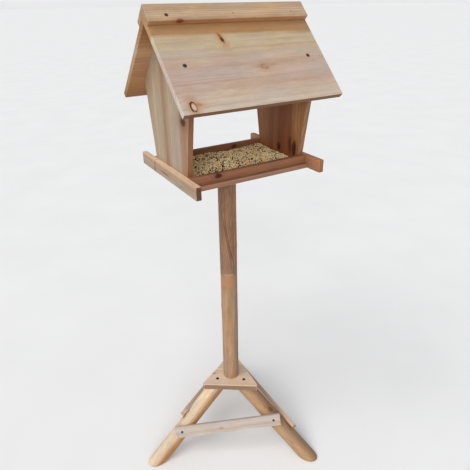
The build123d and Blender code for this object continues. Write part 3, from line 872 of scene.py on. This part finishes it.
def seed_floor():
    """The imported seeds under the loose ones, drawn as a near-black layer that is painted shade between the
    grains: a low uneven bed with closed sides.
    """
    nx, ny = 70, 44
    bm = bmesh.new()
    top = []
    for j in range(ny + 1):
        row = []
        for i in range(nx + 1):
            x = bed_low.x + (bed_high.x - bed_low.x) * i / nx
            y = bed_low.y + (bed_high.y - bed_low.y) * j / ny
            row.append(bm.verts.new((x, y, bed_height(x, y) - LAYER_SINK)))
        top.append(row)
    for j in range(ny):
        for i in range(nx):
            bm.faces.new((top[j][i], top[j][i + 1], top[j + 1][i + 1], top[j + 1][i]))
    border = [e for e in bm.edges if len(e.link_faces) == 1]
    skirt = bmesh.ops.extrude_edge_only(bm, edges=border)["geom"]
    for v in skirt:
        if isinstance(v, bmesh.types.BMVert):
            v.co.z = bed_low.z
    bmesh.ops.holes_fill(bm, edges=[e for e in bm.edges if len(e.link_faces) == 1], sides=0)
    bmesh.ops.recalc_face_normals(bm, faces=bm.faces)
    mesh = bpy.data.meshes.new("seed_layer")
    bm.to_mesh(mesh)
    bm.free()
    obj = placed("seed_layer", mesh)
    dress(obj, NODES["seed_bed"]["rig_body"],
          seed_material("seed_layer_painted_shade", srgb(50, 32, 17), srgb(30, 18, 10), 0.05))
    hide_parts("seed_bed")


seed_floor()
# Kind: how many are dropped, length and width in mm, its two colours, its random seed.
SEEDS = {
    "tan": (3200, 5.0, 2.0, srgb(255, 224, 162), srgb(246, 190, 120), 5),
    "pale": (3200, 5.0, 2.0, srgb(255, 247, 214), srgb(255, 235, 184), 6),
    "dark": (320, 4.6, 2.1, srgb(104, 66, 36), srgb(62, 38, 22), 7),
}
for kind, (count, length, width, base, edge, seed) in SEEDS.items():
    seed_pile("seeds_" + kind, count, length, width, seed_material("seed_" + kind, base, edge), seed)


# ---------------------------------------------------------------- metal

def metal(name, base, dull, roughness, metallic):
    g = Graph(name)
    place = g.place()
    blotch = g.noise(place, 700.0, 4.0, 0.6)
    scratch = g.noise(g.vector("MULTIPLY", place, (4000.0, 400.0, 400.0)), 1.0, 2.0)
    g.feed(g.shader.inputs["Base Color"], g.mix(g.rescale(blotch, 0.35, 0.65, 0.0, 1.0), base, dull))
    g.feed(g.shader.inputs["Roughness"], g.rescale(blotch, 0.3, 0.7, roughness - 0.1, roughness + 0.15))
    g.feed(g.shader.inputs["Normal"], g.bump(scratch, 0.00005, 0.4))
    g.shader.inputs["Metallic"].default_value = metallic
    return g.material


FINISH = {
    "screw_steel": metal("screw_dark_steel", (0.07, 0.043, 0.024), (0.03, 0.018, 0.01), 0.6, 0.35),
    "stud_steel": metal("stud_zinc", (0.5, 0.5, 0.51), (0.38, 0.38, 0.39), 0.4, 0.95),
    "sleeve_brass": metal("sleeve_brass", (0.62, 0.47, 0.2), (0.45, 0.32, 0.13), 0.38, 0.95),
}
for node, slot_name in SLOTS.items():
    if slot_name in FINISH:
        NODES[node].data.materials.clear()
        NODES[node].data.materials.append(FINISH[slot_name])


# ---------------------------------------------------------------- stage, light, camera

SKY = ((0.0, (0.82, 0.82, 0.83)), (0.05, (1.0, 1.0, 1.0)), (0.5, (0.42, 0.43, 0.45)))    # by height
# Sun: where it comes from, strength, how many degrees wide it is, colour.
SUNS = {
    "key": ((-0.62, -0.08, 0.88), 1.45, 40, (1.0, 0.985, 0.96)),
    "fill": ((-0.55, -0.8, 0.45), 1.4, 35, (1, 1, 1)),
}
GROUND_GAP = 0.0005     # m, kept between the feet and the floor


def ground():
    g = Graph("studio_floor")
    speck = g.noise(g.place(), 3.0, 2.0)
    value = g.rescale(speck, 0.2, 0.8, 0.80, 0.83)
    g.feed(g.shader.inputs["Base Color"], g.combine(value, value, value))
    g.shader.inputs["Roughness"].default_value = 0.9
    bm = bmesh.new()
    bmesh.ops.create_circle(bm, cap_ends=True, segments=96, radius=150.0)
    mesh = bpy.data.meshes.new("studio_floor")
    bm.to_mesh(mesh)
    bm.free()
    mesh.materials.append(g.material)
    obj = placed("studio_floor", mesh)
    obj.location = (0, 0, -GROUND_GAP)


def sky():
    world = bpy.data.worlds.new("studio")
    world.use_nodes = True
    tree = world.node_tree
    background = tree.nodes["Background"]
    coords = tree.nodes.new("ShaderNodeTexCoord")
    split = tree.nodes.new("ShaderNodeSeparateXYZ")
    ramp = tree.nodes.new("ShaderNodeValToRGB")
    tree.links.new(coords.outputs["Generated"], split.inputs[0])
    tree.links.new(split.outputs["Z"], ramp.inputs[0])
    tree.links.new(ramp.outputs[0], background.inputs["Color"])
    points = ramp.color_ramp.elements
    points.new(0.05)
    for point, (height, colour) in zip(points, SKY):
        point.position = height
        point.color = (*colour, 1)
    background.inputs["Strength"].default_value = 1.0
    bpy.context.scene.world = world


def sun(name, direction, strength, angle, colour):
    """A distant soft light; direction points from the object to the light."""
    data = bpy.data.lights.new(name, "SUN")
    data.energy = strength
    data.angle = math.radians(angle)
    data.color = colour
    placed(name, data).rotation_euler = Vector(direction).to_track_quat("Z", "Y").to_euler()


# The camera that the photo's outline fits: its place in metres, its direction in degrees.
CAMERA_PLACE = (-0.51015, -0.89996, 1.20671)
CAMERA_AZIMUTH = 30.54      # from +Y towards +X
CAMERA_ELEVATION = -27.16
CAMERA_ROLL = -0.87
CAMERA_LENS = 34.99         # mm, on a sensor 36 mm wide


def camera():
    azimuth, elevation, roll = (math.radians(v) for v in (CAMERA_AZIMUTH, CAMERA_ELEVATION, CAMERA_ROLL))
    level = math.cos(elevation)
    forward = Vector((math.sin(azimuth) * level, math.cos(azimuth) * level, math.sin(elevation)))
    right = Vector((math.cos(azimuth), -math.sin(azimuth), 0))
    up = right.cross(forward)
    r = right * math.cos(roll) + up * math.sin(roll)
    u = up * math.cos(roll) - right * math.sin(roll)
    data = bpy.data.cameras.new("camera")
    data.sensor_width = 36
    data.lens = CAMERA_LENS
    data.clip_end = 500
    obj = placed("camera", data)
    turn = Matrix((r, u, -forward)).transposed().to_4x4()
    obj.matrix_world = Matrix.Translation(CAMERA_PLACE) @ turn
    bpy.context.scene.camera = obj


ground()
sky()
for name, (direction, strength, angle, colour) in SUNS.items():
    sun(name, direction, strength, angle, colour)
camera()
bpy.context.scene.view_settings.view_transform = "Standard"
